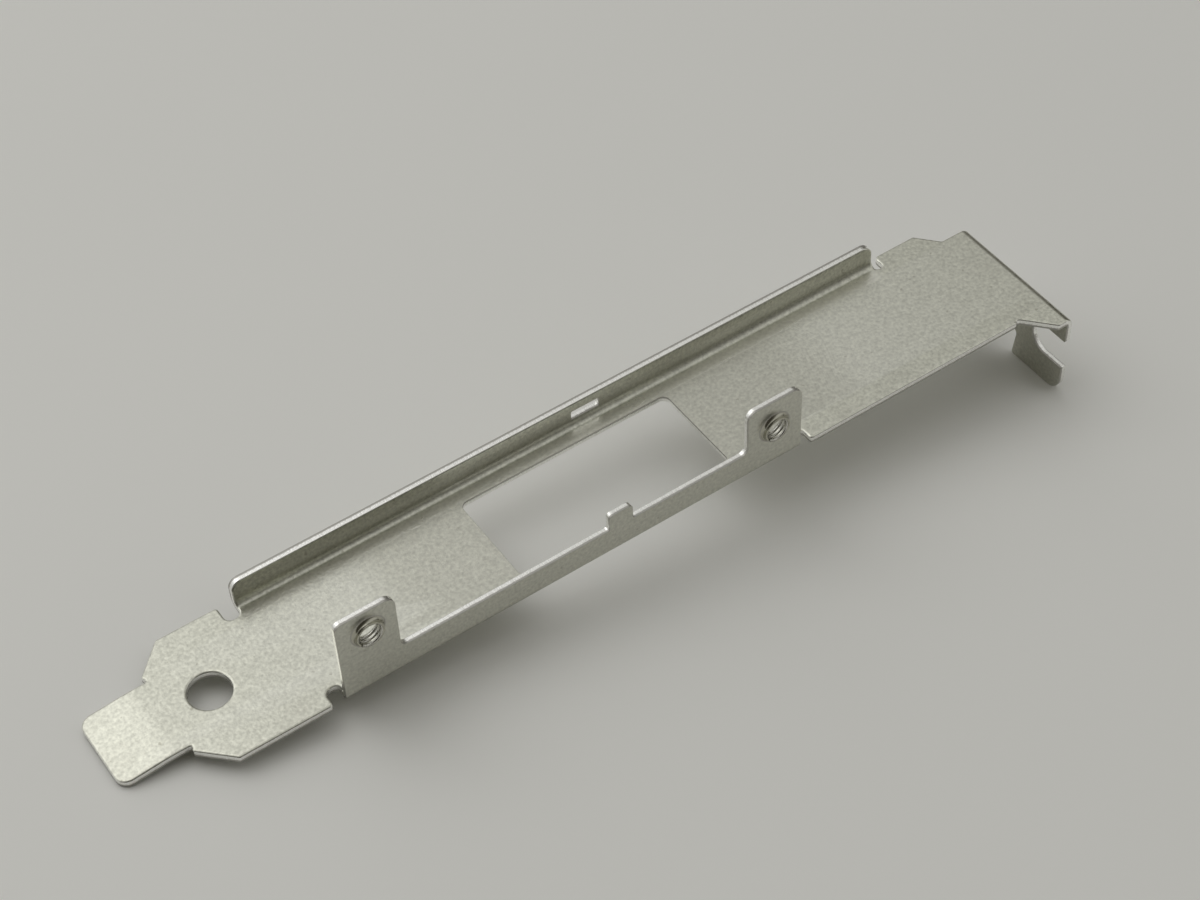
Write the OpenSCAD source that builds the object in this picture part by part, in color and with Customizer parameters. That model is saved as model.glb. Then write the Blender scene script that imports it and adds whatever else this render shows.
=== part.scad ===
// Slot cover bracket with a screw foot, a guide tongue, two tapped card tabs
// and a stiffening flange, folded from one sheet of plated steel.
// Millimetres. The origin is the centre of the screw notch on the foot's
// seating face. +X runs along the plate to the foot, +Y across it to the long
// flange, and +Z is the side the tabs and flange stand up on.

/* [Sheet] */

// thickness of the sheet
sheet_t = 0.86; // [0.76:0.02:0.96]
// inside radius of the foot's fold
foot_fold_r = 0.3; // [0.2:0.05:0.6]
// inside radius of the tab side's fold
tab_fold_r = 0.3; // [0.2:0.05:0.5]
// inside radius of the long flange's fold
flange_fold_r = 0.8; // [0.4:0.05:1]

/* [Plate] */

// width of the plate
plate_w = 18.42; // [18.2:0.02:18.6]
// length from the foot's seating face to the end of the tongue
seat_to_tip = 120.02; // [119.6:0.02:120.4]
// end of the full width at the tongue end, from the tongue's end
shoulder_end = 11.45; // [11:0.05:12]
// size of the shoulder's 45 degree corner cut
shoulder_cut = 3.45; // [3:0.05:3.6]

/* [Tongue] */

// width of the tongue
tongue_w = 9.9; // [9:0.1:10.2]
// radius of the tongue's two end corners
tongue_corner_r = 1.5; // [0.5:0.1:2]
// distance from the tongue's end to where it starts to bend back
tongue_bend_x = 6.9; // [6:0.1:7.2]
// radius of the tongue's gentle bend
tongue_bend_r = 24; // [12:1:36]
// angle of the tongue's gentle bend
tongue_bend_a = 5; // [2:0.5:8]
// radius of the small relief where the tongue meets each shoulder
tongue_relief_r = 0.26; // [0.2:0.02:0.4]

/* [Round hole] */

// radius of the round hole
hole_r = 2.42; // [1.5:0.02:3]
// distance from the tongue's end to the hole's centre
hole_x = 13; // [12:0.1:16]
// distance from the tab edge to the hole's centre
hole_y = 9.21; // [8:0.01:10.4]

/* [Connector opening] */

// start of the opening, from the tongue's end
opening_x = 47.6; // [40:0.1:52]
// length of the opening
opening_len = 27.85; // [20:0.05:28]
// distance from the tab edge to the opening's near edge
opening_y = 3; // [1.6:0.1:4]
// width of the opening
opening_w = 12.15; // [8:0.05:13.5]
// radius of the opening's corners at the flange side
opening_corner_r = 0.95; // [0.5:0.05:2]

/* [Card tabs] */

// height of the low flange between the tabs, from the plate's back face
rail_h = 4.1; // [3:0.1:5]
// start of the tall tab, from the tongue's end
tall_tab_x = 24.12; // [23.9:0.02:24.4]
// width of the tall tab
tall_tab_w = 7.05; // [6.5:0.05:8]
// height of the tall tab, from the plate's back face
tall_tab_h = 12.5; // [11.9:0.1:14]
// distance from the tongue's end to the tall tab's threaded hole
tall_hole_x = 27.7; // [27.2:0.02:28]
// height of the tall tab's threaded hole, from the plate's back face
tall_hole_h = 9.5; // [7.5:0.1:9.6]
// start of the short tab, from the tongue's end
short_tab_x = 75.88; // [75.6:0.02:76.2]
// width of the short tab
short_tab_w = 7.32; // [6.5:0.02:8]
// height of the short tab, from the plate's back face
short_tab_h = 10.3; // [9.5:0.1:12]
// distance from the tongue's end to the short tab's threaded hole
short_hole_x = 79.44; // [78.8:0.02:80]
// height of the short tab's threaded hole, from the plate's back face
short_hole_h = 6.35; // [5.8:0.05:7]
// radius of the tabs' small top corners
tab_small_r = 0.75; // [0.4:0.05:1.2]
// radius of the tabs' large top corners
tab_large_r = 1.25; // [0.6:0.05:1.8]
// radius where the tabs run down into the low flange
tab_root_r = 0.9; // [0.4:0.05:1.4]
// start of the small centre tab, from the tongue's end
nib_x = 57.4; // [50:0.1:66]
// width of the small centre tab
nib_w = 3.05; // [2:0.05:5]
// height of the small centre tab, from the plate's back face
nib_h = 6.3; // [5.2:0.1:8]
// radius of the small centre tab's top corners
nib_r = 0.5; // [0.2:0.05:0.9]

/* [Threaded collars] */

// radius of the threaded holes, to the crests of the thread
thread_r = 1.25; // [1:0.05:1.4]
// height of the collar round each threaded hole
collar_h = 0.7; // [0.4:0.05:1]
// outside radius of the collar at its rim
collar_rim_r = 1.66; // [1.55:0.02:1.8]
// radius of the hollow where the collar rises from the tab
collar_foot_r = 0.5; // [0.3:0.05:0.6]

/* [Long flange] */

// start of the long flange, from the tongue's end
flange_x = 20.65; // [20.4:0.05:21]
// length of the long flange
flange_len = 86.8; // [86:0.1:87]
// height of the long flange, from the plate's back face
flange_h = 4.15; // [3.9:0.05:5]
// radius of the flange's corner at the tongue end
flange_r1 = 1.2; // [0.5:0.1:1.8]
// radius of the flange's corner at the foot end
flange_r2 = 1.5; // [0.5:0.1:1.8]
// start of the flange's small window, from the tongue's end
window_x = 64.2; // [40:0.1:80]
// length of the flange's small window
window_len = 3.8; // [2:0.1:5]
// height of the window's lower edge, from the plate's back face
window_z = 1.05; // [1:0.05:1.6]
// height of the flange's small window
window_h = 1.95; // [1:0.05:2.1]

/* [Fold reliefs] */

// width of the reliefs beside the tabs
tab_relief_w = 1.9; // [1.4:0.05:2.1]
// how far those reliefs reach in past the ends of the tab side's fold
tab_relief_in = 0.35; // [0:0.05:0.5]
// depth of the reliefs beside the tabs
tab_relief_d = 2.08; // [1.5:0.01:2.4]
// width of the relief at the flange's tongue end
flange_relief_w1 = 1.8; // [1.2:0.05:2]
// width of the relief at the flange's foot end
flange_relief_w2 = 1.1; // [0.9:0.05:1.6]
// depth of the relief at the flange's tongue end
flange_relief_d1 = 2.45; // [2:0.05:2.8]
// depth of the relief at the flange's foot end
flange_relief_d2 = 1.85; // [1.8:0.05:2.6]
// radius of the reliefs' outer corners
relief_lip_r = 0.4; // [0.1:0.05:0.5]

/* [Foot] */

// distance from the notch's centre to the plate's back face
notch_drop = 5.08; // [4.9:0.02:5.3]
// depth of the foot, from the plate's back face
foot_depth = 11.43; // [11:0.01:11.8]
// distance the foot reaches past the plate on the tab side
foot_reach = 3.2; // [2.8:0.05:3.6]
// distance from the tab edge to the foot's other side
foot_far_y = 15.75; // [15.5:0.05:16]
// width of the screw notch
notch_w = 4.42; // [4.2:0.02:4.7]
// distance from the tab edge to the side of the foot's narrow part, at its top
neck_y = 4.7; // [4.5:0.1:5.4]
// distance from the tab edge to the side of the foot's narrow part, at its end
neck_end_y = 5.15; // [4.5:0.05:5.6]
// height of the full-width part's lower edge above the notch's centre
neck_z = -2.16; // [-2.8:0.02:1]
// radius of the hollow beside the foot's narrow part
neck_r = 0.8; // [0.4:0.1:1.6]
// radius of the foot's lower corner at the notch side
foot_big_r = 2; // [0.5:0.1:2.6]
// radius of the foot's other lower corners
foot_small_r = 0.3; // [0.2:0.1:1]
// start of the plate's corner cut before the foot, from the tongue's end
neck_cut_x = 114.5; // [113.5:0.1:115]
// end of the plate's corner cut before the foot, from the tongue's end
neck_cut_end = 116.85; // [116:0.05:118]
// start of the edge that runs out to the foot, from the tongue's end
flare_x = 115.9; // [115.2:0.1:116.2]
// end of the edge that runs out to the foot, from the tongue's end
flare_end = 118.7; // [118:0.1:119]
// radius of the small relief where that edge starts
flare_relief_r = 0.45; // [0.2:0.05:0.6]

/* [Hidden] */
$fn = 96;
tongue_y = (plate_w - tongue_w) / 2;
foot_fold_x = seat_to_tip - foot_fold_r;
tab_flat_y = sheet_t + tab_fold_r;
flange_flat_y = plate_w - sheet_t - flange_fold_r;
tab_span = short_tab_x + short_tab_w - tall_tab_x;
tip_len = (tongue_bend_x - (tongue_bend_r + sheet_t / 2) * sin(tongue_bend_a)) / cos(tongue_bend_a);

// one quarter of a fold that runs along +X
module fold_x(inner_r, len) {
    rotate([90, 0, 90])
        rotate_extrude(angle = 90)
            translate([inner_r, 0])
                square([sheet_t, len]);
}

// piece to take off an outer corner at (x, y), lying to the side (sx, sy)
module round_off(x, y, sx, sy, r) {
    translate([x, y])
        scale_side(sx, sy)
            difference() {
                translate([-0.1, -0.1])
                    square([r + 0.1, r + 0.1]);
                translate([r, r])
                    circle(r = r);
            }
}

// piece to add in an inner corner at (x, y), lying to the side (sx, sy)
module fill_in(x, y, sx, sy, r) {
    translate([x, y])
        scale_side(sx, sy)
            difference() {
                translate([-0.1, -0.1])
                    square([r + 0.1, r + 0.1]);
                translate([r, r])
                    circle(r = r);
            }
}

module scale_side(sx, sy) {
    mirror([sx < 0 ? 1 : 0, 0])
        mirror([0, sy < 0 ? 1 : 0])
            children();
}

// slot with a round end, running from the edge at y0 to y1
module relief_slot(x, w, y0, y1) {
    s = y1 > y0 ? 1 : -1;
    translate([x, min(y0, y1 - s * w / 2)])
        square([w, abs(y1 - s * w / 2 - y0)]);
    translate([x + w / 2, y1 - s * w / 2])
        circle(r = w / 2);
}

module plate_outline() {
    polygon([
        [tongue_bend_x, tongue_y],
        [shoulder_end - shoulder_cut, tongue_y],
        [shoulder_end - shoulder_cut, shoulder_cut],
        [shoulder_end, 0],
        [flare_x, 0],
        [flare_end, -foot_reach],
        [foot_fold_x, -foot_reach],
        [foot_fold_x, foot_far_y],
        [neck_cut_end, foot_far_y],
        [neck_cut_x, plate_w],
        [shoulder_end, plate_w],
        [shoulder_end - shoulder_cut, plate_w - shoulder_cut],
        [shoulder_end - shoulder_cut, plate_w - tongue_y],
        [tongue_bend_x, plate_w - tongue_y]
    ]);
}

module connector_opening() {
    difference() {
        translate([opening_x, opening_y])
            square([opening_len, opening_w]);
        round_off(opening_x, opening_y + opening_w, 1, -1, opening_corner_r);
        round_off(opening_x + opening_len, opening_y + opening_w, -1, -1, opening_corner_r);
        round_off(opening_x, opening_y, 1, 1, opening_corner_r / 2);
        round_off(opening_x + opening_len, opening_y, -1, 1, opening_corner_r / 2);
    }
}

module plate_reliefs() {
    tab_end = tall_tab_x + tab_span;
    flange_end = flange_x + flange_len;
    relief_out = tab_relief_w - tab_relief_in;
    relief_slot(tall_tab_x - relief_out, tab_relief_w, -1, tab_relief_d);
    relief_slot(tab_end - tab_relief_in, tab_relief_w, -1, tab_relief_d);
    relief_slot(flange_x - flange_relief_w1, flange_relief_w1, plate_w + 1, plate_w - flange_relief_d1);
    relief_slot(flange_end, flange_relief_w2, plate_w + 1, plate_w - flange_relief_d2);
    round_off(tall_tab_x - relief_out, 0, -1, 1, relief_lip_r);
    round_off(tab_end + relief_out, 0, 1, 1, relief_lip_r);
    round_off(flange_x - flange_relief_w1, plate_w, -1, -1, relief_lip_r);
    round_off(flange_end + flange_relief_w2, plate_w, 1, -1, relief_lip_r * 1.5);
    translate([shoulder_end - shoulder_cut - tongue_relief_r * 0.5, tongue_y - tongue_relief_r])
        circle(r = tongue_relief_r);
    translate([shoulder_end - shoulder_cut - tongue_relief_r * 0.5, plate_w - tongue_y + tongue_relief_r])
        circle(r = tongue_relief_r);
    translate([flare_x - flare_relief_r * 1.2, -flare_relief_r * 0.3])
        circle(r = flare_relief_r);
}

// the flat plate, up to the folds
module plate() {
    linear_extrude(height = sheet_t)
        difference() {
            plate_outline();
            translate([tall_tab_x, -1])
                square([tab_span, 1 + tab_flat_y]);
            translate([flange_x, flange_flat_y])
                square([flange_len, 4]);
            plate_reliefs();
            connector_opening();
            translate([hole_x, hole_y])
                circle(r = hole_r);
        }
}

// side profile of the tongue: flat, then a gentle bend, then straight to its end
module tongue_profile() {
    steps = 8;
    far = tip_len;
    top = [for (i = [0:steps]) bend_point(i / steps, sheet_t, 0)];
    low = [for (i = [steps:-1:0]) bend_point(i / steps, 0, 0)];
    polygon(concat(
        [[tongue_bend_x + 0.4, sheet_t]],
        top,
        [bend_point(1, sheet_t, far), bend_point(1, 0, far)],
        low,
        [[tongue_bend_x + 0.4, 0]]
    ));
}

// point of the bend at share f of its angle, height h in the sheet, run on by d
function bend_point(f, h, d) = [
    tongue_bend_x - (tongue_bend_r + h) * sin(f * tongue_bend_a) - d * cos(f * tongue_bend_a),
    (tongue_bend_r + h) * cos(f * tongue_bend_a) - tongue_bend_r - d * sin(f * tongue_bend_a)
];

// the narrow tongue, bent back a little towards its end
module tongue() {
    difference() {
        translate([0, plate_w - tongue_y, 0])
            rotate([90, 0, 0])
                linear_extrude(height = tongue_w)
                    tongue_profile();
        translate([0, 0, -3])
            linear_extrude(height = 6)
                round_off(0, tongue_y, 1, 1, tongue_corner_r);
        translate([0, 0, -3])
            linear_extrude(height = 6)
                round_off(0, plate_w - tongue_y, 1, -1, tongue_corner_r);
    }
}

// outline of the low flange with its tabs, above the fold
module tab_outline() {
    fold_top = sheet_t + tab_fold_r;
    difference() {
        union() {
            translate([tall_tab_x, fold_top])
                square([tab_span, rail_h - fold_top]);
            translate([tall_tab_x, fold_top])
                square([tall_tab_w, tall_tab_h - fold_top]);
            translate([short_tab_x, fold_top])
                square([short_tab_w, short_tab_h - fold_top]);
            translate([nib_x, fold_top])
                square([nib_w, nib_h - fold_top]);
            fill_in(tall_tab_x + tall_tab_w, rail_h, 1, 1, tab_root_r);
            fill_in(short_tab_x, rail_h, -1, 1, tab_root_r);
            fill_in(nib_x, rail_h, -1, 1, 0.3);
            fill_in(nib_x + nib_w, rail_h, 1, 1, 0.3);
        }
        round_off(tall_tab_x, tall_tab_h, 1, -1, tab_small_r);
        round_off(tall_tab_x + tall_tab_w, tall_tab_h, -1, -1, tab_large_r);
        round_off(short_tab_x, short_tab_h, 1, -1, tab_large_r * 0.9);
        round_off(short_tab_x + short_tab_w, short_tab_h, -1, -1, tab_large_r);
        round_off(nib_x, nib_h, 1, -1, nib_r);
        round_off(nib_x + nib_w, nib_h, -1, -1, nib_r);
    }
}

// the drawn-out collar round one threaded hole, standing along -Y
module collar(x, z) {
    translate([x, 0.05, z])
        rotate([90, 0, 0])
            rotate_extrude()
                difference() {
                    square([collar_rim_r + collar_foot_r, collar_h + 0.05]);
                    translate([collar_rim_r + collar_foot_r, collar_foot_r + 0.05])
                        circle(r = collar_foot_r);
                    translate([collar_rim_r, collar_foot_r + 0.05])
                        square([2, 2]);
                }
}

module threaded_hole(x, z) {
    translate([x, sheet_t + 1, z])
        rotate([90, 0, 0])
            cylinder(h = sheet_t + collar_h + 2, r = thread_r);
    translate([x, sheet_t + 0.01, z])
        rotate([90, 0, 0])
            cylinder(h = 0.26, r1 = thread_r + 0.25, r2 = thread_r - 0.01);
    translate([x, 0.14 - collar_h, z])
        rotate([90, 0, 0])
            cylinder(h = 0.16, r1 = thread_r - 0.01, r2 = thread_r + 0.15);
}

// the side that takes the card: fold, low flange, tabs and collars
module tab_side() {
    difference() {
        union() {
            translate([tall_tab_x, tab_flat_y, sheet_t + tab_fold_r])
                rotate([180, 0, 0])
                    fold_x(tab_fold_r, tab_span);
            translate([0, sheet_t, 0])
                rotate([90, 0, 0])
                    linear_extrude(height = sheet_t)
                        tab_outline();
            collar(tall_hole_x, tall_hole_h);
            collar(short_hole_x, short_hole_h);
        }
        threaded_hole(tall_hole_x, tall_hole_h);
        threaded_hole(short_hole_x, short_hole_h);
    }
}

// the long stiffening flange, with its small window
module long_flange() {
    fold_top = sheet_t + flange_fold_r;
    difference() {
        union() {
            translate([flange_x, flange_flat_y, fold_top])
                rotate([-90, 0, 0])
                    fold_x(flange_fold_r, flange_len);
            translate([0, plate_w, 0])
                rotate([90, 0, 0])
                    linear_extrude(height = sheet_t)
                        difference() {
                            translate([flange_x, fold_top])
                                square([flange_len, flange_h - fold_top]);
                            round_off(flange_x, flange_h, 1, -1, flange_r1);
                            round_off(flange_x + flange_len, flange_h, -1, -1, flange_r2);
                        }
        }
        translate([window_x, plate_w - sheet_t - 1.2, window_z])
            cube([window_len, sheet_t + 2, window_h]);
    }
}

// outline of the foot below the fold, seen along the plate
module foot_outline() {
    top = notch_drop - foot_fold_r;
    low = notch_drop - foot_depth;
    difference() {
        union() {
            translate([-foot_reach, neck_z])
                square([foot_reach + foot_far_y, top - neck_z]);
            polygon([
                [-foot_reach, low],
                [neck_end_y, low],
                [neck_y, neck_z - neck_r],
                [neck_y, top],
                [-foot_reach, top]
            ]);
            fill_in(neck_y, neck_z, 1, -1, neck_r);
        }
        circle(r = notch_w / 2);
        translate([-foot_reach - 1, -notch_w / 2])
            square([foot_reach + 1, notch_w]);
        round_off(-foot_reach, low, 1, 1, foot_big_r);
        round_off(neck_end_y, low, -1, 1, foot_small_r);
        round_off(foot_far_y, neck_z, -1, 1, foot_small_r);
    }
}

module foot() {
    translate([foot_fold_x, foot_far_y, -foot_fold_r])
        rotate([90, 0, 0])
            rotate_extrude(angle = 90)
                translate([foot_fold_r, 0])
                    square([sheet_t, foot_far_y + foot_reach]);
    translate([seat_to_tip, 0, -notch_drop])
        rotate([90, 0, 90])
            linear_extrude(height = sheet_t)
                foot_outline();
}

module bracket() {
    color([0.7, 0.69, 0.65])
        translate([-seat_to_tip, 0, notch_drop])
            union() {
                plate();
                tongue();
                tab_side();
                long_flange();
                foot();
            }
}

bracket();
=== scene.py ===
import math

import bmesh
import bpy
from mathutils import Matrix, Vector
from mathutils.geometry import tessellate_polygon


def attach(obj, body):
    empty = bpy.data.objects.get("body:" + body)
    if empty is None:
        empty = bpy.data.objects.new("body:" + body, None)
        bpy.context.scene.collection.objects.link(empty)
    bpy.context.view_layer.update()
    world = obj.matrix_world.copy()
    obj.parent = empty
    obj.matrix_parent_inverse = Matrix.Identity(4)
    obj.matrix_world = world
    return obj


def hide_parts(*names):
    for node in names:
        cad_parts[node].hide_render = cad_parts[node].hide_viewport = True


bl_info = {
    "name": "Slot cover bracket",
    "version": (1, 0, 0),
    "blender": (4, 5, 0),
    "location": "3D View > Sidebar > Bracket",
    "description": "Builds a folded, plated steel slot bracket from its flat blank",
    "category": "Object",
}

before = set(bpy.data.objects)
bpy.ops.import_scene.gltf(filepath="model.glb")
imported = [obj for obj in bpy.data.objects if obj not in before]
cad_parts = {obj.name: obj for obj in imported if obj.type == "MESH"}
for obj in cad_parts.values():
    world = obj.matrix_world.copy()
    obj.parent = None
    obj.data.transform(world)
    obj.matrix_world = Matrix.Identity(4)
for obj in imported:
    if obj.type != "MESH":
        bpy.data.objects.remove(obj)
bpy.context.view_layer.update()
MM = 0.001

# Lengths from here to the operators are in millimetres.
# The sheet, and where the notch's centre lies from the tongue's end and the plate's back face.
SHEET = 0.86
MIDDLE = SHEET / 2
SEAT = 120.02
DROP = 5.08

# Heights above the plate's back face.
RAIL_TOP = 4.1
TALL_TAB_TOP = 12.5
SHORT_TAB_TOP = 10.3
NIB_TOP = 6.3
FLANGE_TOP = 4.15

# Holes: places along the bracket from the tongue's end, across it, and heights.
ROUND_HOLE = (13.0, 9.21, 2.42)
OPENING = (47.6, 3.0, 75.45, 15.15)
WINDOW_ENDS = (64.2, 68.0)
WINDOW_HEIGHTS = (1.72, 3.0)
TALL_THREAD = (27.7, 9.5)
SHORT_THREAD = (79.44, 6.35)
COLLAR_BASE = 2.16
THREAD_START = 0.56

# Where each fold starts on the flat blank, and its inside radius.
TAB_FLAT = 1.16
TAB_SPAN = (24.0, 83.3)
FLANGE_FLAT = 16.76
FLANGE_SPAN = (20.6, 107.5)
FOOT_FLAT = 119.72
TONGUE_FLAT = 6.9
TAB_R = 0.3
FLANGE_R = 0.8
FOOT_R = 0.3
TONGUE_R = 24.0
TONGUE_ANGLE = math.radians(5)
TONGUE_ARC = (TONGUE_R + MIDDLE) * TONGUE_ANGLE
QUARTER = math.pi / 2

# Angles of the rings on a rolled-over edge, and an inset that nothing limits.
ROLL_ANGLES = (15, 30, 45, 60, 75, 90)
FREE = 9.0

# Extra points this far from both ends of a long straight run keep its shading straight.
END_GAPS = (0.08, 0.25)
LONG_RUN = 0.6

# The floor meets the foot's end and the tongue's tip: height below the origin, and slope.
FLOOR_DROP = 0.00637
FLOOR_SLOPE = 0.0907


def arc_length(radius):
    """Length of a right-angle fold along the middle of the sheet."""
    return (radius + MIDDLE) * QUARTER


def tab_v(height):
    """Place on the flat blank of a height on the tab side."""
    return TAB_FLAT + TAB_R + SHEET - arc_length(TAB_R) - height


def flange_v(height):
    """Place on the flat blank of a height on the long flange."""
    return FLANGE_FLAT + arc_length(FLANGE_R) + height - FLANGE_R - SHEET


def foot_u(drop):
    """Place on the flat blank of a height on the foot, from the notch's centre."""
    return FOOT_FLAT + arc_length(FOOT_R) - FOOT_R + DROP - drop


class SheetSizes(bpy.types.PropertyGroup):
    """Sizes of the sheet and its sheared edges."""

    thickness: bpy.props.FloatProperty(
        name="Thickness",
        description="Thickness of the sheet",
        default=SHEET * MM, unit="LENGTH", precision=5)
    roll_width: bpy.props.FloatProperty(
        name="Roll-over width",
        description="How far the punch rolls the edge in",
        default=0.3 * MM, unit="LENGTH", precision=5)
    roll_depth: bpy.props.FloatProperty(
        name="Roll-over depth",
        description="How far the punch rolls the edge down",
        default=0.17 * MM, unit="LENGTH", precision=5)
    burr: bpy.props.FloatProperty(
        name="Edge break",
        description="Small broken edge on the other side",
        default=0.035 * MM, unit="LENGTH", precision=5)


class FinishColours(bpy.types.PropertyGroup):
    """Colours of the plated finish."""

    plate: bpy.props.FloatVectorProperty(
        name="Plating",
        description="Colour of the satin nickel plate",
        default=(0.655, 0.656, 0.575), subtype="COLOR", size=3)
    stain: bpy.props.FloatVectorProperty(
        name="Stain",
        description="Colour of the faint handling stains",
        default=(0.53, 0.515, 0.45), subtype="COLOR", size=3)
    shear: bpy.props.FloatVectorProperty(
        name="Sheared edge",
        description="Colour of the bright sheared band",
        default=(0.97, 0.97, 0.94), subtype="COLOR", size=3)
    torn: bpy.props.FloatVectorProperty(
        name="Torn edge",
        description="Colour of the rough band below it",
        default=(0.44, 0.43, 0.4), subtype="COLOR", size=3)


class ThreadSizes(bpy.types.PropertyGroup):
    """Sizes of the tapped threads."""

    pitch: bpy.props.FloatProperty(
        name="Pitch",
        description="Distance from one turn to the next",
        default=0.5 * MM, unit="LENGTH", precision=5)
    root: bpy.props.FloatProperty(
        name="Root radius",
        description="Radius the ridges are wound on",
        default=1.43 * MM, unit="LENGTH", precision=5)
    ridge: bpy.props.FloatProperty(
        name="Ridge",
        description="How far the ridges stand in",
        default=0.18 * MM, unit="LENGTH", precision=5)
    turns: bpy.props.FloatProperty(
        name="Turns", description="Number of turns in each collar", default=2.4)


class StageLook(bpy.types.PropertyGroup):
    """Floor, light and camera."""

    floor: bpy.props.FloatVectorProperty(
        name="Floor",
        description="Colour of the floor",
        default=(0.9, 0.898, 0.872), subtype="COLOR", size=3)
    lamp_power: bpy.props.FloatProperty(
        name="Lamp power", description="Power of the soft lamp", default=0.36, unit="POWER")
    lens: bpy.props.FloatProperty(
        name="Lens", description="Focal length of the camera", default=74.526, unit="CAMERA")


def corner_points(corners):
    """Outline through (u, v, radius) corners: a list of (point, largest inset)."""
    out = []
    count = len(corners)
    for i, (u, v, radius) in enumerate(corners):
        here = Vector((u, v))
        back = Vector(corners[i - 1][:2]) - here
        ahead = Vector(corners[(i + 1) % count][:2]) - here
        a, b = back.normalized(), ahead.normalized()
        convex = (-a).cross(b) > 0
        theta = a.angle(b)
        if radius < 0.05 or theta > math.radians(179):
            out.append((here, FREE))
            continue
        reach = min(radius / math.tan(theta / 2), back.length * 0.999, ahead.length * 0.999)
        radius = reach * math.tan(theta / 2)
        centre = here + (a + b).normalized() * (radius / math.sin(theta / 2))
        start, end = here + a * reach - centre, here + b * reach - centre
        sweep = math.pi - theta
        steps = max(4, math.ceil(sweep / math.radians(8)))
        turn = 1 if start.cross(end) > 0 else -1
        for k in range(steps + 1):
            c, s = math.cos(turn * sweep * k / steps), math.sin(turn * sweep * k / steps)
            spoke = Vector((start.x * c - start.y * s, start.x * s + start.y * c))
            out.append((centre + spoke, radius * 0.85 if convex else FREE))
    return out


def with_ends(points):
    """Adds points close to the ends of each long straight run."""
    out = []
    for i, (p, limit) in enumerate(points):
        q = points[(i + 1) % len(points)][0]
        run = (q - p).length
        if run < 1e-4:
            continue
        out.append((p, limit))
        if run > LONG_RUN:
            near = [gap / run for gap in END_GAPS]
            for share in near + [1 - gap for gap in reversed(near)]:
                out.append((p.lerp(q, share), FREE))
    return out


def blank_outline():
    """Corners of the whole blank, anticlockwise seen from the inner side."""
    rail, tall, short, nib = (tab_v(h) for h in (RAIL_TOP, TALL_TAB_TOP, SHORT_TAB_TOP, NIB_TOP))
    top = flange_v(FLANGE_TOP)
    tip = -0.021
    return [
        (tip, 4.26, 1.5), (7.9, 4.26, 0), (8.1, 4.18, 0), (8.13, 4.0, 0), (8.1, 3.85, 0),
        (8.0, 3.775, 0), (8.0, 3.45, 0.12), (11.45, 0, 0.3),
        (22.57, 0, 0.4), (22.57, 2.08, 0.9), (24.47, 2.08, 0.9), (24.45, 1.15, 0), (24.12, 1.08, 0),
        (24.12, tall, 0.75), (31.17, tall, 1.25), (31.17, rail, 0.9),
        (57.4, rail, 0.3), (57.4, nib, 0.5), (60.45, nib, 0.5), (60.45, rail, 0.3),
        (75.88, rail, 0.9), (75.88, short, 1.125), (83.2, short, 1.25),
        (83.2, 1.08, 0), (82.87, 1.15, 0), (82.85, 2.08, 0.9), (84.75, 2.08, 0.9), (84.75, 0, 0.4),
        (114.93, 0, 0), (115.05, 0.19, 0), (115.2, 0.285, 0), (115.36, 0.315, 0), (115.52, 0.285, 0),
        (115.67, 0.19, 0), (115.83, 0.02, 0),
        (118.7, -3.2, 0.4), (foot_u(2.21), -3.2, 0.15),
        (foot_u(2.21), 2.21, 2.2), (foot_u(-2.21), 2.21, 2.2), (foot_u(-2.21), -3.2, 0.15),
        (foot_u(-6.35), -3.2, 2.0), (foot_u(-6.35), 5.15, 0.36), (foot_u(-2.96), 4.7, 0),
        (foot_u(-2.16), 4.7, 0.78), (foot_u(-2.16), 15.75, 0.36),
        (116.85, 15.75, 0.3), (114.5, 18.42, 0.4),
        (108.55, 18.42, 0.6), (108.55, 16.57, 0.53), (107.45, 16.57, 0.53),
        (107.45, top, 1.5), (20.65, top, 1.2), (20.65, 15.97, 0.85), (18.85, 15.97, 0.85),
        (18.85, 18.42, 0.4),
        (11.45, 18.42, 0.3), (8.0, 14.97, 0.12), (8.0, 14.645, 0), (8.1, 14.57, 0), (8.13, 14.42, 0),
        (8.1, 14.24, 0), (7.9, 14.16, 0), (tip, 14.16, 1.5),
    ]


def ring(centre_u, centre_v, radius, count=72):
    """A round hole, clockwise."""
    turns = [-2 * math.pi * i / count for i in range(count)]
    return [(Vector((centre_u + radius * math.cos(a), centre_v + radius * math.sin(a))), FREE) for a in turns]


def box_hole(u0, v0, u1, v1, low_r, high_r):
    """A hole with rounded corners, clockwise."""
    return with_ends(corner_points([(u0, v0, low_r), (u0, v1, high_r), (u1, v1, high_r), (u1, v0, low_r)]))


def edge_profile(sizes, flipped=False):
    """Section of a sheared edge, from the outer face to the inner one: (inset, height).
    Flipped, it was cut from the other side."""
    names = ("thickness", "roll_width", "roll_depth", "burr")
    t, wide, deep, burr = (getattr(sizes, name) / MM for name in names)
    points = [(burr, 0.0), (burr * 0.3, burr * 0.3), (0.0, burr), (0.0, t * 0.45), (0.0, t - deep)]
    for a in ROLL_ANGLES:
        r = math.radians(a)
        points.append((wide * (1 - math.cos(r)), t - deep + deep * math.sin(r)))
    return [(inset, t - w) for inset, w in reversed(points)] if flipped else points


def collar_profile(t):
    """Section of a drawn-out collar: out of the sheet, round the rim and down the bore."""
    points = [(COLLAR_BASE, 0.0)]
    for a in ROLL_ANGLES:
        r = math.radians(a)
        points.append((COLLAR_BASE - 0.5 * math.sin(r), -0.5 + 0.5 * math.cos(r)))
    points += [(1.66, -0.64), (1.648, -0.682), (1.61, -0.7), (1.5, -0.7), (1.45, -0.68), (1.42, -0.63)]
    points += [(1.42, 0.58), (1.44, 0.68), (1.53, t - 0.02), (1.57, t)]
    return [(r - COLLAR_BASE, w) for r, w in points]


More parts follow.
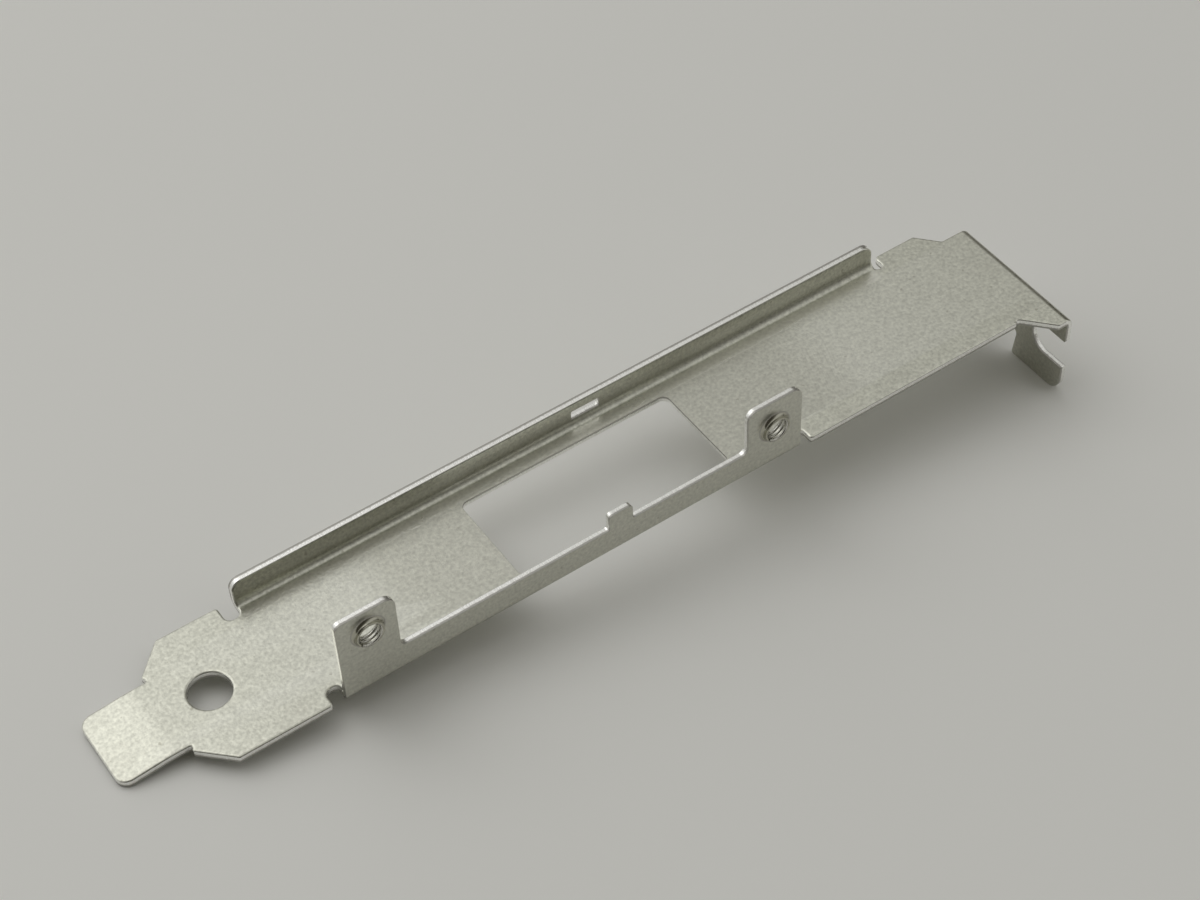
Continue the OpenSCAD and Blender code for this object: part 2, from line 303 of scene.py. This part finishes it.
def wall_share(step, steps):
    """How much of the sheared finish a ring of an edge's section shows."""
    if step == 0:
        return 0.3
    return max(0.0, min(1.0, 1 - 0.3 * (step - steps + len(ROLL_ANGLES) + 1)))


def section_slants(profile):
    """The (outward, upward) slant of the surface at each point of an edge's section."""
    slants = []
    for k, point in enumerate(profile):
        tangent = Vector((0, 0))
        for start, end in zip(profile[max(k - 1, 0):k + 1], profile[max(k, 1):k + 2]):
            side = Vector(end) - Vector(start)
            tangent += side.normalized() * side.length ** 0.5
        tangent.normalize()
        slants.append((tangent.y, tangent.x))
    slants[0], slants[-1] = (0.0, -1.0), (0.0, 1.0)
    return slants


def add_wall(bm, layers, points, profile, flipped=False):
    """Rings of points round one loop of the blank, joined by faces. Returns the first and last ring."""
    normal_layer, edge_layer = layers
    count = len(points)
    sides, runs, total = [], [], 0.0
    for i in range(count):
        step = points[(i + 1) % count][0] - points[i][0]
        sides.append((Vector((-step.y, step.x)).normalized(), step.length))
        runs.append(total)
        total += step.length
    slants = section_slants(profile)
    rings = []
    for k, (inset, w) in enumerate(profile):
        row = []
        for i, (p, limit) in enumerate(points):
            (n0, l0), (n1, l1) = sides[i - 1], sides[i]
            miter = n0 + n1
            miter /= max(miter.dot(n0), 0.35)
            out = -(n0 * l0 + n1 * l1).normalized()
            place = p + miter * min(inset, limit)
            vert = bm.verts.new((place.x, place.y, w))
            reach, rise = slants[k]
            vert[normal_layer] = Vector((out.x * reach, out.y * reach, rise)).normalized()
            step = len(profile) - 1 - k if flipped else k
            height = SHEET - w if flipped else w
            vert[edge_layer] = (runs[i], height, wall_share(step, len(profile)))
            row.append(vert)
        rings.append(row)
    for low, high in zip(rings, rings[1:]):
        for i in range(count):
            j = (i + 1) % count
            bm.faces.new((low[i], low[j], high[j], high[i]))
    return rings[0], rings[-1]


def add_cap(bm, loops):
    """Fills the space between an outline and its holes."""
    verts = [v for loop in loops for v in loop]
    for tri in tessellate_polygon([[v.co.copy() for v in loop] for loop in loops]):
        picked = [verts[i] for i in tri]
        if len(set(picked)) == 3:
            try:
                bm.faces.new(picked)
            except ValueError:
                pass


def cut_lines(bm):
    """Cuts the blank where it will bend."""
    cuts = [((0, TAB_FLAT - arc_length(TAB_R) * i / 8, 0), (0, 1, 0)) for i in range(9)]
    cuts += [((0, FLANGE_FLAT + arc_length(FLANGE_R) * i / 10, 0), (0, 1, 0)) for i in range(11)]
    cuts += [((FOOT_FLAT + arc_length(FOOT_R) * i / 8, 0, 0), (1, 0, 0)) for i in range(9)]
    cuts += [((TONGUE_FLAT - TONGUE_ARC * i / 6, 0, 0), (1, 0, 0)) for i in range(7)]
    for place, across in cuts:
        everything = bm.verts[:] + bm.edges[:] + bm.faces[:]
        bmesh.ops.bisect_plane(bm, geom=everything, dist=1e-4, plane_co=place, plane_no=across)


def bend(s, length, angle=QUARTER):
    """Cosine and sine of the turn made after s along a bend, and what is left past its end."""
    a = min(s / length, 1) * angle
    return math.cos(a), math.sin(a), max(s - length, 0)


def fold(point, normal, t):
    """Where a point of the blank goes when it is folded, with its normal."""
    u, v, w = point
    nu, nv, nw = normal
    if u > FOOT_FLAT:
        c, d, spare = bend(u - FOOT_FLAT, arc_length(FOOT_R))
        r = FOOT_R + w
        place = (FOOT_FLAT + r * d, v, -FOOT_R + r * c - spare)
        return place, (nu * c + nw * d, nv, nw * c - nu * d)
    if u < TONGUE_FLAT:
        c, d, spare = bend(TONGUE_FLAT - u, TONGUE_ARC, TONGUE_ANGLE)
        r = TONGUE_R + w
        place = (TONGUE_FLAT - r * d - spare * c, v, r * c - TONGUE_R - spare * d)
        return place, (nu * c - nw * d, nv, nu * d + nw * c)
    if v < TAB_FLAT and TAB_SPAN[0] < u < TAB_SPAN[1]:
        c, d, spare = bend(TAB_FLAT - v, arc_length(TAB_R))
        r = TAB_R + t - w
        place = (u, TAB_FLAT - r * d, TAB_FLAT - r * c + spare)
        return place, (nu, nv * c + nw * d, nw * c - nv * d)
    if v > FLANGE_FLAT and FLANGE_SPAN[0] < u < FLANGE_SPAN[1]:
        c, d, spare = bend(v - FLANGE_FLAT, arc_length(FLANGE_R))
        r = FLANGE_R + t - w
        place = (u, FLANGE_FLAT + r * d, FLANGE_R + t - r * c + spare)
        return place, (nu, nv * c - nw * d, nv * d + nw * c)
    return (u, v, w), (nu, nv, nw)


def new_material(name):
    """An empty node material with its shader and output."""
    material = bpy.data.materials.new(name)
    material.use_nodes = True
    tree = material.node_tree
    tree.nodes.clear()
    out = tree.nodes.new("ShaderNodeOutputMaterial")
    shader = tree.nodes.new("ShaderNodeBsdfPrincipled")
    tree.links.new(shader.outputs["BSDF"], out.inputs["Surface"])
    return material, tree, shader


def ramp(tree, source, stops):
    """A colour ramp on a source, through (place, grey or colour) stops."""
    node = tree.nodes.new("ShaderNodeValToRGB")
    while len(node.color_ramp.elements) < len(stops):
        node.color_ramp.elements.new(0.5)
    for element, (place, value) in zip(node.color_ramp.elements, stops):
        element.position = place
        element.color = (*((value,) * 3 if isinstance(value, float) else value), 1)
    tree.links.new(source, node.inputs["Fac"])
    return node.outputs["Color"]


def noise(tree, vector, scale, detail=2.0, roughness=0.55):
    """A noise pattern's value on a vector."""
    node = tree.nodes.new("ShaderNodeTexNoise")
    node.inputs["Scale"].default_value = scale
    node.inputs["Detail"].default_value = detail
    node.inputs["Roughness"].default_value = roughness
    tree.links.new(vector, node.inputs["Vector"])
    return node.outputs["Fac"]


def mixed(tree, factor, a, b, kind="MIX"):
    """Two colours mixed by a factor. Each is an output, or a colour."""
    node = tree.nodes.new("ShaderNodeMix")
    node.data_type = "RGBA"
    node.blend_type = kind
    for socket, value in zip((node.inputs[0], node.inputs[6], node.inputs[7]), (factor, a, b)):
        if isinstance(value, bpy.types.NodeSocket):
            tree.links.new(value, socket)
        elif isinstance(value, float):
            socket.default_value = value
        else:
            socket.default_value = (*value, 1)
    return node.outputs[2]


def maths(tree, kind, a, b):
    """A sum on two values. Each is an output, or a number."""
    node = tree.nodes.new("ShaderNodeMath")
    node.operation = kind
    for socket, value in zip(node.inputs, (a, b)):
        if isinstance(value, bpy.types.NodeSocket):
            tree.links.new(value, socket)
        else:
            socket.default_value = value
    return node.outputs[0]


def satin_nickel(colours):
    """Satin nickel plate with a fine grain, faint stains and bright sheared edges."""
    material, tree, shader = new_material("satin_nickel")
    place = tree.nodes.new("ShaderNodeTexCoord").outputs["Object"]
    edge = tree.nodes.new("ShaderNodeAttribute")
    edge.attribute_name = "edge"
    parts = tree.nodes.new("ShaderNodeSeparateXYZ")
    tree.links.new(edge.outputs["Vector"], parts.inputs[0])
    where = tree.nodes.new("ShaderNodeSeparateXYZ")
    tree.links.new(place, where.inputs[0])
    grain = noise(tree, place, 2400, 2.5, 0.62)
    cloud = noise(tree, place, 90, 3.0)
    patch = noise(tree, place, 230, 2.0)
    dull = tuple(c * 0.8 for c in colours.plate)
    bright = tuple(min(c * 1.18, 1) for c in colours.plate)
    tint = mixed(tree, ramp(tree, grain, [(0.3, 0.0), (0.72, 1.0)]), dull, bright)
    tint = mixed(tree, ramp(tree, cloud, [(0.58, 0.0), (0.78, 0.25)]), tint, tuple(colours.stain))
    speck = ramp(tree, noise(tree, place, 1500, 0.0), [(0.8, 0.0), (0.83, 0.45)])
    tint = mixed(tree, speck, tint, (0.3, 0.28, 0.22))
    # The sheared wall: burnished near the rolled side, torn near the other.
    stretch = tree.nodes.new("ShaderNodeCombineXYZ")
    tree.links.new(maths(tree, "MULTIPLY", parts.outputs["X"], 7.0), stretch.inputs[0])
    tree.links.new(maths(tree, "MULTIPLY", parts.outputs["Y"], 1.2), stretch.inputs[1])
    lines = noise(tree, stretch.outputs[0], 1.0, 3.0, 0.7)
    waver = maths(tree, "MULTIPLY", maths(tree, "SUBTRACT", lines, 0.5), 0.35)
    ragged = maths(tree, "ADD", parts.outputs["Y"], waver)
    torn = ramp(tree, ragged, [(0.24, 1.0), (0.34, 0.0)])
    cut = mixed(tree, torn, tuple(colours.shear), tuple(colours.torn))
    cut = mixed(tree, ramp(tree, lines, [(0.35, 0.3), (0.55, 0.0)]), cut, (0.6, 0.59, 0.55))
    raised = maths(tree, "ADD", maths(tree, "MULTIPLY", parts.outputs["Y"], 0.5), 0.5)
    collar = ramp(tree, raised, [(0.46, 1.0), (0.49, 0.0)])
    cut = mixed(tree, collar, cut, (0.46, 0.45, 0.38))
    tint = mixed(tree, parts.outputs["Z"], tint, cut)
    # A burnished band runs along the foot of the long flange.
    along = maths(tree, "MULTIPLY", where.outputs["X"], -1 / 0.12)
    along = ramp(tree, along, [(0.1, 0.0), (0.11, 1.0), (0.82, 1.0), (0.83, 0.0)])
    across = maths(tree, "MULTIPLY", where.outputs["Y"], 50.0)
    across = ramp(tree, across, [(0.75, 0.0), (0.77, 1.0), (0.83, 1.0), (0.84, 0.0)])
    band = maths(tree, "MULTIPLY", along, across)
    tint = mixed(tree, maths(tree, "MULTIPLY", band, 0.45), tint, (0.84, 0.83, 0.77))
    tree.links.new(tint, shader.inputs["Base Color"])
    # Outer faces of the tab side are smoother than the rest.
    smooth = ramp(tree, maths(tree, "MULTIPLY", where.outputs["Y"], 1000.0), [(0.15, 1.0), (0.6, 0.0)])
    rough = mixed(tree, smooth, mixed(tree, patch, (0.3,) * 3, (0.37,) * 3), (0.24,) * 3)
    rough = mixed(tree, maths(tree, "MULTIPLY", band, 0.6), rough, (0.24,) * 3)
    cut_rough = mixed(tree, collar, mixed(tree, torn, (0.22,) * 3, (0.5,) * 3), (0.17,) * 3)
    rough = mixed(tree, parts.outputs["Z"], rough, cut_rough)
    tree.links.new(rough, shader.inputs["Roughness"])
    shader.inputs["Metallic"].default_value = 1.0
    scratch_place = tree.nodes.new("ShaderNodeMapping")
    scratch_place.inputs["Rotation"].default_value = (0, 0, 0.9)
    scratch_place.inputs["Scale"].default_value = (900, 40, 300)
    tree.links.new(place, scratch_place.inputs["Vector"])
    scratch = ramp(tree, noise(tree, scratch_place.outputs[0], 1.0, 0.0), [(0.74, 0.0), (0.77, 1.0)])
    height = mixed(tree, smooth, grain, maths(tree, "MULTIPLY", grain, 0.25))
    height = mixed(tree, maths(tree, "MULTIPLY", scratch, 0.35), height, (0.1,) * 3)
    height = mixed(tree, parts.outputs["Z"], height, mixed(tree, collar, lines, (0.5,) * 3))
    bump = tree.nodes.new("ShaderNodeBump")
    bump.inputs["Strength"].default_value = 0.75
    bump.inputs["Distance"].default_value = 0.00003
    tree.links.new(height, bump.inputs["Height"])
    tree.links.new(bump.outputs["Normal"], shader.inputs["Normal"])
    return material


def finish_piece(obj):
    """Names the body a piece rides on."""
    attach(obj, "root")


class BRACKET_OT_sheet(bpy.types.Operator):
    """Shear the blank, draw its collars and fold it"""

    bl_idname = "bracket.sheet"
    bl_label = "Folded sheet"

    def execute(self, context):
        sizes = context.scene.bracket_sheet
        t = sizes.thickness / MM
        bm = bmesh.new()
        normal_layer = bm.verts.layers.float_vector.new("facing")
        layers = (normal_layer, bm.verts.layers.float_vector.new("edge"))
        sill, head = (flange_v(h) for h in WINDOW_HEIGHTS)
        window = box_hole(WINDOW_ENDS[0], sill, WINDOW_ENDS[1], head, 0.15, 0.2)
        loops = [
            (with_ends(corner_points(blank_outline())), edge_profile(sizes)),
            (box_hole(*OPENING, 0.475, 0.95), edge_profile(sizes, True), True),
            (ring(*ROUND_HOLE, 96), edge_profile(sizes)),
            (window, edge_profile(sizes, True), True),
        ]
        for along, height in (TALL_THREAD, SHORT_THREAD):
            loops.append((ring(along, tab_v(height), COLLAR_BASE), collar_profile(t)))
        ends = [add_wall(bm, layers, *loop) for loop in loops]
        add_cap(bm, [low for low, high in ends])
        add_cap(bm, [high for low, high in ends])
        cut_lines(bm)
        bmesh.ops.recalc_face_normals(bm, faces=bm.faces[:])
        bm.verts.index_update()
        facing = []
        for vert in bm.verts:
            place, normal = fold(vert.co, vert[normal_layer].normalized(), t)
            vert.co = ((place[0] - SEAT) * MM, place[1] * MM, (place[2] + DROP) * MM)
            facing.append(Vector(normal).normalized())
        if any(len(edge.link_faces) != 2 for edge in bm.edges):
            raise RuntimeError("the folded sheet isn't closed")
        mesh = bpy.data.meshes.new("folded_sheet")
        bm.to_mesh(mesh)
        bm.free()
        mesh.polygons.foreach_set("use_smooth", [True] * len(mesh.polygons))
        mesh.normals_split_custom_set_from_vertices(facing)
        mesh.materials.append(satin_nickel(context.scene.bracket_finish))
        obj = bpy.data.objects.new("folded_sheet", mesh)
        context.scene.collection.objects.link(obj)
        finish_piece(obj)
        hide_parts("bracket")
        return {"FINISHED"}


def thread_tree():
    """Geometry nodes that wind one thread ridge inside a collar."""
    tree = bpy.data.node_groups.new("tapped_thread", "GeometryNodeTree")
    inputs = {name: "NodeSocketFloat" for name in ("Pitch", "Root radius", "Ridge", "Turns")}
    inputs.update({"Start": "NodeSocketVector", "Finish": "NodeSocketMaterial"})
    for name, kind in inputs.items():
        tree.interface.new_socket(name=name, in_out="INPUT", socket_type=kind)
    tree.interface.new_socket(name="Geometry", in_out="OUTPUT", socket_type="NodeSocketGeometry")
    entry = tree.nodes.new("NodeGroupInput")
    spiral = tree.nodes.new("GeometryNodeCurveSpiral")
    spiral.inputs["Resolution"].default_value = 48
    tree.links.new(entry.outputs["Turns"], spiral.inputs["Rotations"])
    tree.links.new(entry.outputs["Root radius"], spiral.inputs["Start Radius"])
    tree.links.new(entry.outputs["Root radius"], spiral.inputs["End Radius"])
    height = maths(tree, "MULTIPLY", entry.outputs["Pitch"], entry.outputs["Turns"])
    tree.links.new(height, spiral.inputs["Height"])
    section = tree.nodes.new("GeometryNodeCurvePrimitiveCircle")
    section.inputs["Resolution"].default_value = 6
    tree.links.new(entry.outputs["Ridge"], section.inputs["Radius"])
    sweep = tree.nodes.new("GeometryNodeCurveToMesh")
    sweep.inputs["Fill Caps"].default_value = True
    tree.links.new(spiral.outputs["Curve"], sweep.inputs["Curve"])
    tree.links.new(section.outputs["Curve"], sweep.inputs["Profile Curve"])
    place = tree.nodes.new("GeometryNodeTransform")
    place.inputs["Rotation"].default_value = (math.pi / 2, 0, 0)
    tree.links.new(sweep.outputs["Mesh"], place.inputs["Geometry"])
    tree.links.new(entry.outputs["Start"], place.inputs["Translation"])
    real = tree.nodes.new("GeometryNodeRealizeInstances")
    tree.links.new(place.outputs["Geometry"], real.inputs["Geometry"])
    paint = tree.nodes.new("GeometryNodeSetMaterial")
    tree.links.new(real.outputs["Geometry"], paint.inputs["Geometry"])
    tree.links.new(entry.outputs["Finish"], paint.inputs["Material"])
    exit_node = tree.nodes.new("NodeGroupOutput")
    tree.links.new(paint.outputs["Geometry"], exit_node.inputs["Geometry"])
    return tree


class BRACKET_OT_threads(bpy.types.Operator):
    """Tap a thread in each collar"""

    bl_idname = "bracket.threads"
    bl_label = "Threads"

    def execute(self, context):
        sizes = context.scene.bracket_thread
        tree = thread_tree()
        sockets = {s.name: s.identifier for s in tree.interface.items_tree if s.in_out == "INPUT"}
        material, nodes, shader = new_material("tapped_steel")
        place = nodes.nodes.new("ShaderNodeTexCoord").outputs["Object"]
        grain = noise(nodes, place, 5200)
        tint = mixed(nodes, grain, (0.5, 0.49, 0.45), (0.68, 0.67, 0.63))
        nodes.links.new(tint, shader.inputs["Base Color"])
        rough = mixed(nodes, grain, (0.2,) * 3, (0.34,) * 3)
        nodes.links.new(rough, shader.inputs["Roughness"])
        shader.inputs["Metallic"].default_value = 1.0
        for name, (x, z) in (("tall_tab_thread", TALL_THREAD), ("short_tab_thread", SHORT_THREAD)):
            winder = bpy.data.objects.new("winder", bpy.data.meshes.new("winder"))
            context.scene.collection.objects.link(winder)
            modifier = winder.modifiers.new("thread", "NODES")
            modifier.node_group = tree
            modifier[sockets["Pitch"]] = sizes.pitch
            modifier[sockets["Root radius"]] = sizes.root
            modifier[sockets["Ridge"]] = sizes.ridge
            modifier[sockets["Turns"]] = sizes.turns
            modifier[sockets["Start"]] = ((x - SEAT) * MM, THREAD_START * MM, (z + DROP) * MM)
            modifier[sockets["Finish"]] = material
            ready = winder.evaluated_get(context.evaluated_depsgraph_get())
            mesh = bpy.data.meshes.new_from_object(ready)
            bpy.data.objects.remove(winder)
            if not len(mesh.polygons):
                raise RuntimeError("the thread came out empty")
            bm = bmesh.new()
            bm.from_mesh(mesh)
            bmesh.ops.remove_doubles(bm, verts=bm.verts[:], dist=1e-7)
            bmesh.ops.recalc_face_normals(bm, faces=bm.faces[:])
            bm.to_mesh(mesh)
            bm.free()
            mesh.name = name
            obj = bpy.data.objects.new(name, mesh)
            context.scene.collection.objects.link(obj)
            finish_piece(obj)
        return {"FINISHED"}


class BRACKET_OT_stage(bpy.types.Operator):
    """Set the floor, the light and the camera"""

    bl_idname = "bracket.stage"
    bl_label = "Stage"

    def execute(self, context):
        look = context.scene.bracket_stage
        scene = context.scene
        corners = []
        for x, y in ((-0.42, -0.5), (0.5, -0.5), (0.5, 0.5), (-0.42, 0.5)):
            corners.append((x, y, -FLOOR_DROP - FLOOR_SLOPE * x))
        mesh = bpy.data.meshes.new("floor")
        mesh.from_pydata(corners, [], [(0, 1, 2, 3)])
        material, tree, shader = new_material("pale_board")
        place = tree.nodes.new("ShaderNodeTexCoord").outputs["Object"]
        darker, paler = (tuple(c * k for c in look.floor) for k in (0.985, 1.015))
        tone = mixed(tree, noise(tree, place, 14, 2.0), darker, paler)
        rays = tree.nodes.new("ShaderNodeLightPath")
        seen = maths(tree, "MAXIMUM", rays.outputs["Is Camera Ray"], rays.outputs["Is Glossy Ray"])
        tone = mixed(tree, seen, tuple(c * 0.8 for c in look.floor), tone)
        tree.links.new(tone, shader.inputs["Base Color"])
        shader.inputs["Roughness"].default_value = 0.85
        shader.inputs["Specular IOR Level"].default_value = 0.15
        mesh.materials.append(material)
        floor = bpy.data.objects.new("floor", mesh)
        scene.collection.objects.link(floor)

        lamp = bpy.data.lights.new("soft_lamp", "AREA")
        lamp.shape = "DISK"
        lamp.size = 0.45
        lamp.energy = look.lamp_power
        lamp.color = (1.0, 0.99, 0.965)
        hung = bpy.data.objects.new("soft_lamp", lamp)
        aim = Vector((-0.06, 0.01, 0.0))
        hung.location = aim + Vector((-0.16, 0.26, 0.44))
        hung.rotation_euler = (aim - hung.location).to_track_quat("-Z", "Y").to_euler()
        scene.collection.objects.link(hung)

        world = bpy.data.worlds.new("room")
        world.use_nodes = True
        nodes = world.node_tree
        nodes.nodes.clear()
        way = nodes.nodes.new("ShaderNodeSeparateXYZ")
        nodes.links.new(nodes.nodes.new("ShaderNodeTexCoord").outputs["Generated"], way.inputs[0])
        back_light = maths(nodes, "MULTIPLY", way.outputs["Y"], 0.5)
        top_light = maths(nodes, "MULTIPLY", way.outputs["Z"], 0.25)
        lean = maths(nodes, "ADD", back_light, top_light)
        # The front is brighter towards the foot, and the back towards the tongue.
        skew = maths(nodes, "MULTIPLY", maths(nodes, "MULTIPLY", way.outputs["X"], way.outputs["Y"]), -0.95)
        lean = maths(nodes, "ADD", lean, skew)
        walls = [
            (0.2, (0.06, 0.056, 0.046)),
            (0.45, (0.17, 0.165, 0.145)),
            (0.58, (0.6, 0.598, 0.575)),
            (0.85, (0.68, 0.68, 0.668)),
        ]
        room = ramp(nodes, maths(nodes, "ADD", lean, 0.4), walls)
        rays = nodes.nodes.new("ShaderNodeLightPath")
        shown = mixed(nodes, rays.outputs["Is Camera Ray"], room, (0.49, 0.487, 0.465))
        back = nodes.nodes.new("ShaderNodeBackground")
        nodes.links.new(shown, back.inputs["Color"])
        out = nodes.nodes.new("ShaderNodeOutputWorld")
        nodes.links.new(back.outputs[0], out.inputs["Surface"])
        scene.world = world

        camera = bpy.data.cameras.new("camera")
        camera.lens = look.lens
        camera.sensor_width = 36
        camera.sensor_fit = "HORIZONTAL"
        camera.clip_start = 0.01
        holder = bpy.data.objects.new("camera", camera)
        holder.location = (-0.154348, -0.142826, 0.214511)
        holder.rotation_euler = [math.radians(a) for a in (41.4194, 1.9037, -34.6511)]
        scene.collection.objects.link(holder)
        scene.camera = holder
        scene.view_settings.view_transform = "Standard"
        return {"FINISHED"}


class BRACKET_PT_panel(bpy.types.Panel):
    """Sizes, colours and steps of the bracket"""

    bl_idname = "BRACKET_PT_panel"
    bl_label = "Slot cover bracket"
    bl_space_type = "VIEW_3D"
    bl_region_type = "UI"
    bl_category = "Bracket"

    def draw(self, context):
        for group in ("bracket_sheet", "bracket_finish", "bracket_thread", "bracket_stage"):
            settings = getattr(context.scene, group)
            box = self.layout.box()
            for name in type(settings).__annotations__:
                box.prop(settings, name)
        for step in STEPS:
            self.layout.operator(step.bl_idname)


GROUPS = {
    "bracket_sheet": SheetSizes,
    "bracket_finish": FinishColours,
    "bracket_thread": ThreadSizes,
    "bracket_stage": StageLook,
}
STEPS = (BRACKET_OT_sheet, BRACKET_OT_threads, BRACKET_OT_stage)
CLASSES = (*GROUPS.values(), *STEPS, BRACKET_PT_panel)


def register():
    """Adds the classes and the settings they read."""
    for cls in CLASSES:
        bpy.utils.register_class(cls)
    for name, group in GROUPS.items():
        setattr(bpy.types.Scene, name, bpy.props.PointerProperty(type=group))


def unregister():
    """Takes the settings and the classes away."""
    for name in GROUPS:
        delattr(bpy.types.Scene, name)
    for cls in reversed(CLASSES):
        bpy.utils.unregister_class(cls)


def main():
    """Builds the bracket and its stage."""
    register()
    bpy.ops.bracket.sheet()
    bpy.ops.bracket.threads()
    bpy.ops.bracket.stage()
    bpy.context.view_layer.update()


if __name__ == "__main__":
    main()
